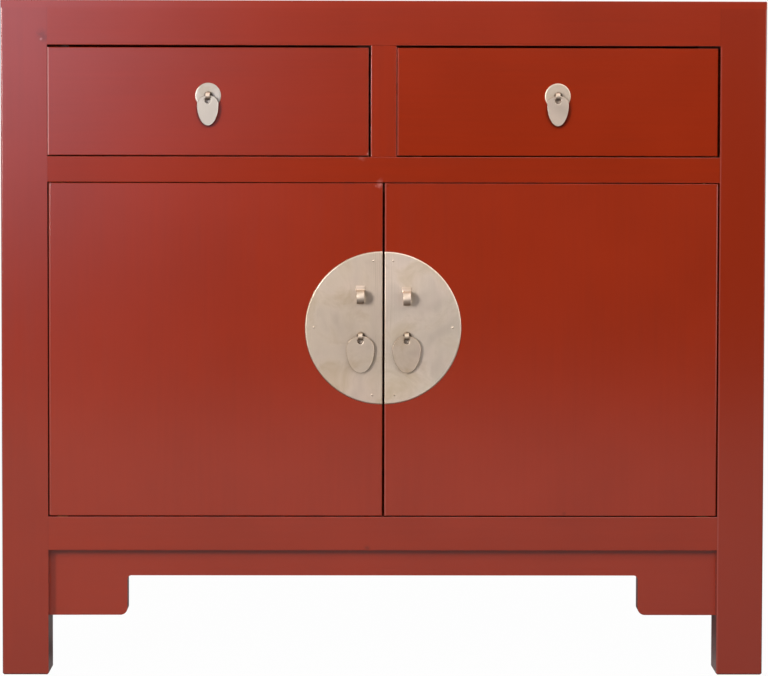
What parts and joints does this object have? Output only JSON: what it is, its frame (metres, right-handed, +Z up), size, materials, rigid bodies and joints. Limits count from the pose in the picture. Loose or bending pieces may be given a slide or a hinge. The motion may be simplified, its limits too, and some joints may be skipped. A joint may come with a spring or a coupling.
{
  "type": "chinese wedding cabinet",
  "caption": "Low framed cabinet in hazy red lacquer, with two dovetailed drawers over two pivoting doors, a split round brass plate, lock eyes and egg-shaped pendant pulls.",
  "frame": {"origin": "on the floor, under the middle of the whole object with its hardware", "axes": "+Z up, +X to the right of someone facing the front, the front faces -Y"},
  "size_m": [0.9, 0.4185, 0.7975],
  "materials": {
    "red_lacquer": "satin red lacquer over wood, slightly hazy",
    "stained_wood": "thin red-brown stain, unpolished",
    "bare_wood": "planed bare softwood",
    "champagne_brass": "brushed, pale, slightly tarnished"
  },
  "bodies": {
    "carcass": {"apron_front": "red_lacquer", "back_panel": "stained_wood", "bottom_rail_front": "red_lacquer", "bottom_rail_left": "red_lacquer", "bottom_rail_rear": "stained_wood", "bottom_rail_right": "red_lacquer", "door_stop": "stained_wood", "drawer_kickers": "stained_wood", "drawer_runner_center": "stained_wood", "drawer_runners_side": "stained_wood", "drawer_stile": "red_lacquer", "floor_board": "stained_wood", "middle_rail_front": "red_lacquer", "middle_rail_rear": "stained_wood", "pivot_bushes": "champagne_brass", "post_front_left": "red_lacquer", "post_front_right": "red_lacquer", "post_rear_left": "red_lacquer", "post_rear_right": "red_lacquer", "shelf": "stained_wood", "shelf_cleats": "stained_wood", "side_panel_left": "red_lacquer", "side_panel_right": "red_lacquer", "top_board": "red_lacquer", "top_rail_front": "red_lacquer", "top_rail_left": "red_lacquer", "top_rail_rear": "stained_wood", "top_rail_right": "red_lacquer"},
    "drawer_left": {"drawer_left_back": "bare_wood", "drawer_left_bottom": "bare_wood", "drawer_left_eye": "champagne_brass", "drawer_left_front": "red_lacquer", "drawer_left_plate": "champagne_brass", "drawer_left_side_left": "bare_wood", "drawer_left_side_right": "bare_wood"},
    "drawer_right": {"drawer_right_back": "bare_wood", "drawer_right_bottom": "bare_wood", "drawer_right_eye": "champagne_brass", "drawer_right_front": "red_lacquer", "drawer_right_plate": "champagne_brass", "drawer_right_side_left": "bare_wood", "drawer_right_side_right": "bare_wood"},
    "door_left": {"door_left_battens": "stained_wood", "door_left_eye": "champagne_brass", "door_left_panel": "red_lacquer", "door_left_pivot_pins": "champagne_brass", "lock_eye_left": "champagne_brass", "moon_nails_left": "champagne_brass", "moon_plate_left": "champagne_brass"},
    "door_right": {"door_right_battens": "stained_wood", "door_right_eye": "champagne_brass", "door_right_panel": "red_lacquer", "door_right_pivot_pins": "champagne_brass", "lock_eye_right": "champagne_brass", "moon_nails_right": "champagne_brass", "moon_plate_right": "champagne_brass"},
    "drawer_left_pull": {"drawer_left_pendant": "champagne_brass"},
    "drawer_right_pull": {"drawer_right_pendant": "champagne_brass"},
    "door_left_pull": {"door_left_pendant": "champagne_brass"},
    "door_right_pull": {"door_right_pendant": "champagne_brass"}
  },
  "joints": [
    {"name": "drawer_left_slide", "type": "slide", "parent": "carcass", "child": "drawer_left", "axis": [0, -1, 0], "range_m": [0, 0.26]},
    {"name": "door_left_hinge", "type": "hinge", "parent": "carcass", "child": "door_left", "pos_m": [-0.3784, -0.18375, 0.38625], "axis": [0, 0, -1], "range_deg": [0, 120]},
    {"name": "drawer_left_pull_swing", "type": "hinge", "parent": "drawer_left", "child": "drawer_left_pull", "pos_m": [-0.20665, -0.19665, 0.6856], "axis": [-1, 0, 0], "range_deg": [-4, 150]},
    {"name": "door_left_pull_swing", "type": "hinge", "parent": "door_left", "child": "door_left_pull", "pos_m": [-0.0273, -0.19695, 0.4029], "axis": [-1, 0, 0], "range_deg": [-4, 150]},
    {"name": "drawer_right_slide", "type": "slide", "parent": "carcass", "child": "drawer_right", "axis": [0, -1, 0], "range_m": [0, 0.26]},
    {"name": "door_right_hinge", "type": "hinge", "parent": "carcass", "child": "door_right", "pos_m": [0.3784, -0.18375, 0.38625], "axis": [0, 0, 1], "range_deg": [0, 120]},
    {"name": "drawer_right_pull_swing", "type": "hinge", "parent": "drawer_right", "child": "drawer_right_pull", "pos_m": [0.20415, -0.19665, 0.6856], "axis": [-1, 0, 0], "range_deg": [-4, 150]},
    {"name": "door_right_pull_swing", "type": "hinge", "parent": "door_right", "child": "door_right_pull", "pos_m": [0.0273, -0.19695, 0.4029], "axis": [-1, 0, 0], "range_deg": [-4, 150]}
  ]
}
